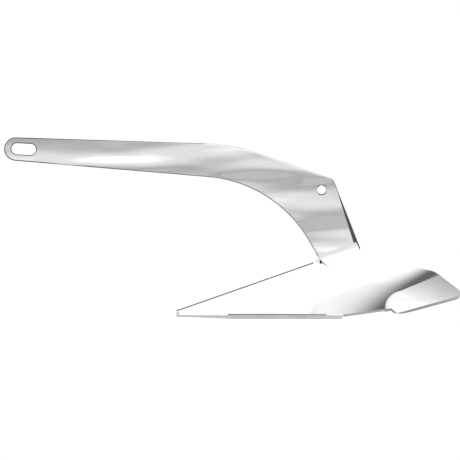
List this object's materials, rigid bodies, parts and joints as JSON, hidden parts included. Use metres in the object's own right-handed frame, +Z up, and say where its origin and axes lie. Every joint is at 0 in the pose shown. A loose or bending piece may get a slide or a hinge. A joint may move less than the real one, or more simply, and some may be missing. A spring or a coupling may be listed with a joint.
{
  "type": "plough boat anchor",
  "caption": "Welded stainless plough anchor: a cranked flat-bar shank with a shackle slot and tripping eye on a ridged fluke with turned-down wings and a ballasted toe.",
  "frame": {"origin": "on the underside of the sole plate, at the middle of the overall length and of the width", "axes": "+X aft, from the shackle end of the shank to the wing tips; +Z up; +Y to starboard, the line of the tripping eye and the shackle slot"},
  "size_m": [0.7005, 0.275, 0.2797],
  "materials": {
    "polished_stainless": "mirror polished stainless steel",
    "blade_stainless": "mirror polished stainless plate",
    "sole_stainless": "polished edge, brushed underside",
    "inner_stainless": "mill finish",
    "ground_weld": "ground and polished weld",
    "ballast_iron": "rough cast"
  },
  "bodies": {
    "root": {"shank": "polished_stainless", "nose_point": "polished_stainless", "nose_seam": "ground_weld", "ridge_seam": "ground_weld", "sole_plate": "sole_stainless", "ballast": "ballast_iron", "bulkhead": "inner_stainless", "root_weld_front": "ground_weld", "blade_starboard": "blade_stainless", "blade_port": "blade_stainless", "wing_starboard": "blade_stainless", "wing_port": "blade_stainless", "wing_weld_starboard": "ground_weld", "wing_weld_port": "ground_weld", "root_weld_starboard": "ground_weld", "root_weld_port": "ground_weld", "sole_weld_starboard": "ground_weld", "sole_weld_port": "ground_weld", "bulkhead_weld_starboard": "ground_weld", "bulkhead_weld_port": "ground_weld"}
  },
  "joints": []
}
